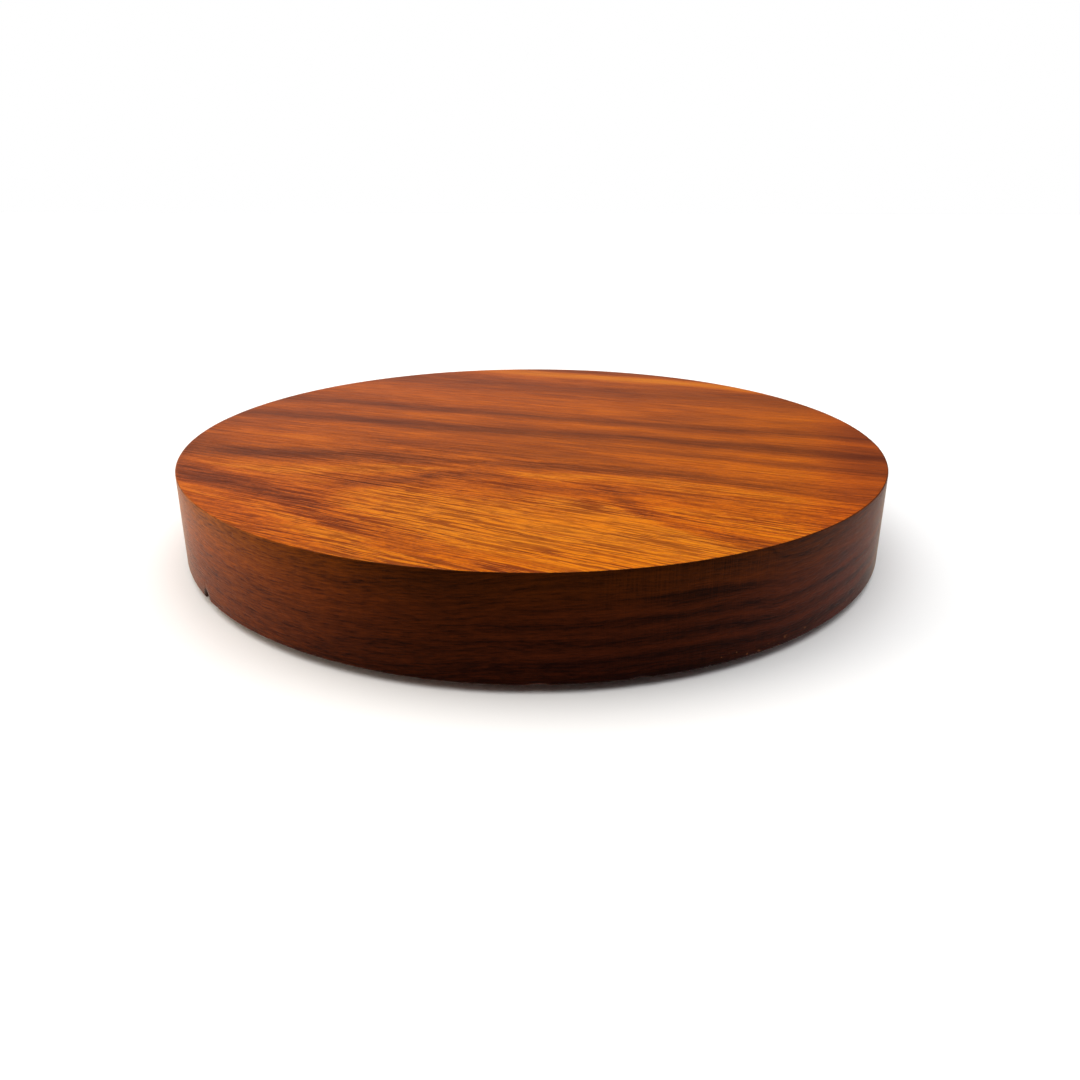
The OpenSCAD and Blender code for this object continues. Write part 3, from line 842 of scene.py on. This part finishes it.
def pale_floor(colour):
    """Matt floor, very slightly uneven in tone."""
    g = Graph("pale_floor")
    soft = g.noise(g.millimetres()[0], scale=0.002, detail=2)
    shade = g.mix(g.fit(soft, 0.3, 0.7, 0.0, 0.03), tuple(colour), (0.8, 0.8, 0.8))
    return g.finish(Base_Color=shade, Roughness=0.9, Specular_IOR_Level=0.0)


def add_floor(size, colour):
    """A plain floor under the turntable."""
    bm = bmesh.new()
    corners = ((-1, -1), (1, -1), (1, 1), (-1, 1))
    bm.faces.new([bm.verts.new((x * size / 2, y * size / 2, FLOOR_HEIGHT)) for x, y in corners])
    mesh = bpy.data.meshes.new("floor")
    bm.to_mesh(mesh)
    bm.free()
    mesh.materials.append(pale_floor(colour))
    floor = bpy.data.objects.new("floor", mesh)
    bpy.context.scene.collection.objects.link(floor)


def add_sun(name, azimuth, elevation, spread, strength, colour):
    """One of the soft suns."""
    data = bpy.data.lights.new(name, "SUN")
    data.energy = strength
    data.angle = math.radians(spread)
    data.color = colour
    lamp = bpy.data.objects.new(name, data)
    turn, rise = math.radians(azimuth), math.radians(elevation)
    towards = Vector((
        math.cos(turn) * math.cos(rise), math.sin(turn) * math.cos(rise), math.sin(rise)))
    lamp.rotation_mode = "QUATERNION"
    lamp.rotation_quaternion = towards.to_track_quat("Z", "Y")
    bpy.context.scene.collection.objects.link(lamp)


def add_world():
    """Soft light from all round, before a white backdrop."""
    world = bpy.data.worlds.new("studio")
    world.use_nodes = True
    tree = world.node_tree
    tree.nodes.clear()

    def node(kind, **inputs):
        made = tree.nodes.new("ShaderNode" + kind)
        for name, value in inputs.items():
            made.inputs[name.replace("_", " ")].default_value = value
        return made

    where, path = node("TexCoord"), node("LightPath")
    facing = node("VectorMath")
    facing.operation = "DOT_PRODUCT"
    facing.inputs[1].default_value = SKY_BRIGHTEST
    rise = node("MapRange", From_Min=SKY_RISE[0], From_Max=SKY_RISE[1],
                To_Min=SKY_STRENGTH[0], To_Max=SKY_STRENGTH[1])
    rise.interpolation_type = "SMOOTHSTEP"
    light = node("Background", Color=SKY_COLOUR)
    backdrop = node("Background", Color=(1, 1, 1, 1), Strength=1.0)
    mixed, output = node("MixShader"), node("OutputWorld")
    for source, target in (
            (where.outputs["Generated"], facing.inputs[0]),
            (facing.outputs["Value"], rise.inputs["Value"]),
            (rise.outputs[0], light.inputs["Strength"]),
            (path.outputs["Is Camera Ray"], mixed.inputs[0]),
            (light.outputs[0], mixed.inputs[1]),
            (backdrop.outputs[0], mixed.inputs[2]),
            (mixed.outputs[0], output.inputs[0])):
        tree.links.new(source, target)
    bpy.context.scene.world = world


def add_camera(s):
    """The scene's camera, in front of the turntable."""
    data = bpy.data.cameras.new("camera")
    data.sensor_width = SENSOR_WIDTH
    data.lens = s.lens
    data.shift_y = s.shift_y
    data.clip_start = 0.01
    camera = bpy.data.objects.new("camera", data)
    camera.matrix_world = (
        Matrix.Translation(s.camera_place) @ Matrix.Rotation(-s.camera_right, 4, "Z")
        @ Matrix.Rotation(math.pi / 2 - s.camera_down, 4, "X")
        @ Matrix.Rotation(s.camera_roll, 4, "Z"))
    bpy.context.scene.collection.objects.link(camera)
    bpy.context.scene.camera = camera


# ---------------------------------------------------------------- operators

class TURNTABLE_OT_stage(bpy.types.Operator):
    """Build the floor, the light and the camera"""

    bl_idname = "turntable.stage"
    bl_label = "Stage"

    def execute(self, context):
        s = context.scene.turntable_stage
        add_floor(s.floor_size, s.floor_colour)
        add_world()
        for name, light in SUNS.items():
            add_sun(name, *light)
        add_camera(s)
        context.scene.view_settings.view_transform = "Standard"
        return {"FINISHED"}


class TURNTABLE_OT_wood_disc(bpy.types.Operator):
    """Build the solid hardwood disc"""

    bl_idname = "turntable.wood_disc"
    bl_label = "Wooden disc"

    def execute(self, context):
        scene = context.scene
        disc = build_disc(scene.turntable_disc)
        for finish in (hardwood_face, hardwood_rim):
            disc.data.materials.append(finish(scene.turntable_wood))
        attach(disc, "turntable")
        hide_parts("turntable_disc")
        return {"FINISHED"}


class TURNTABLE_OT_slewing_ring(bpy.types.Operator):
    """Finish the slewing ring, its balls, cage and plug"""

    bl_idname = "turntable.slewing_ring"
    bl_label = "Slewing ring"

    def execute(self, context):
        give(["inner_ring", "outer_ring", "filler_plug"], turned_aluminium())
        give(["bearing_balls"], ball_steel())
        give(["ball_cage"], natural_nylon())
        return {"FINISHED"}


class TURNTABLE_OT_base_plate(bpy.types.Operator):
    """Finish the plywood base plate and its access cap"""

    bl_idname = "turntable.base_plate"
    bl_label = "Base plate"

    def execute(self, context):
        give(["base_plate"], birch_plywood())
        give(["access_cap"], moulded_black())
        return {"FINISHED"}


class TURNTABLE_OT_feet(bpy.types.Operator):
    """Finish the rubber feet"""

    bl_idname = "turntable.feet"
    bl_label = "Rubber feet"

    def execute(self, context):
        give(FEET, foot_rubber())
        return {"FINISHED"}


class TURNTABLE_OT_fasteners(bpy.types.Operator):
    """Finish the screws, washers and pin"""

    bl_idname = "turntable.fasteners"
    bl_label = "Screws and washers"

    def execute(self, context):
        give(RING_SCREWS + FOOT_SCREWS + FOOT_WASHERS + ["filler_plug_pin"], zinc_plate())
        return {"FINISHED"}


class TURNTABLE_PT_panel(bpy.types.Panel):
    """Steps that build the turntable"""

    bl_label = "Turntable"
    bl_idname = "TURNTABLE_PT_panel"
    bl_space_type = "VIEW_3D"
    bl_region_type = "UI"
    bl_category = "Turntable"

    def draw(self, context):
        for step in STEPS:
            self.layout.operator(step.bl_idname)
        scene = context.scene
        for settings in (scene.turntable_disc, scene.turntable_wood, scene.turntable_stage):
            box = self.layout.box()
            for name in settings.__annotations__:
                box.prop(settings, name)


STEPS = (
    TURNTABLE_OT_stage, TURNTABLE_OT_wood_disc, TURNTABLE_OT_slewing_ring,
    TURNTABLE_OT_base_plate, TURNTABLE_OT_feet, TURNTABLE_OT_fasteners,
)
CLASSES = (DiscSettings, WoodSettings, StageSettings) + STEPS + (TURNTABLE_PT_panel,)


def register():
    for item in CLASSES:
        bpy.utils.register_class(item)
    bpy.types.Scene.turntable_disc = PointerProperty(type=DiscSettings)
    bpy.types.Scene.turntable_wood = PointerProperty(type=WoodSettings)
    bpy.types.Scene.turntable_stage = PointerProperty(type=StageSettings)


def unregister():
    del bpy.types.Scene.turntable_stage
    del bpy.types.Scene.turntable_wood
    del bpy.types.Scene.turntable_disc
    for item in reversed(CLASSES):
        bpy.utils.unregister_class(item)


def main():
    register()
    bpy.ops.turntable.stage()
    bpy.ops.turntable.wood_disc()
    bpy.ops.turntable.slewing_ring()
    bpy.ops.turntable.base_plate()
    bpy.ops.turntable.feet()
    bpy.ops.turntable.fasteners()


if __name__ == "__main__":
    main()
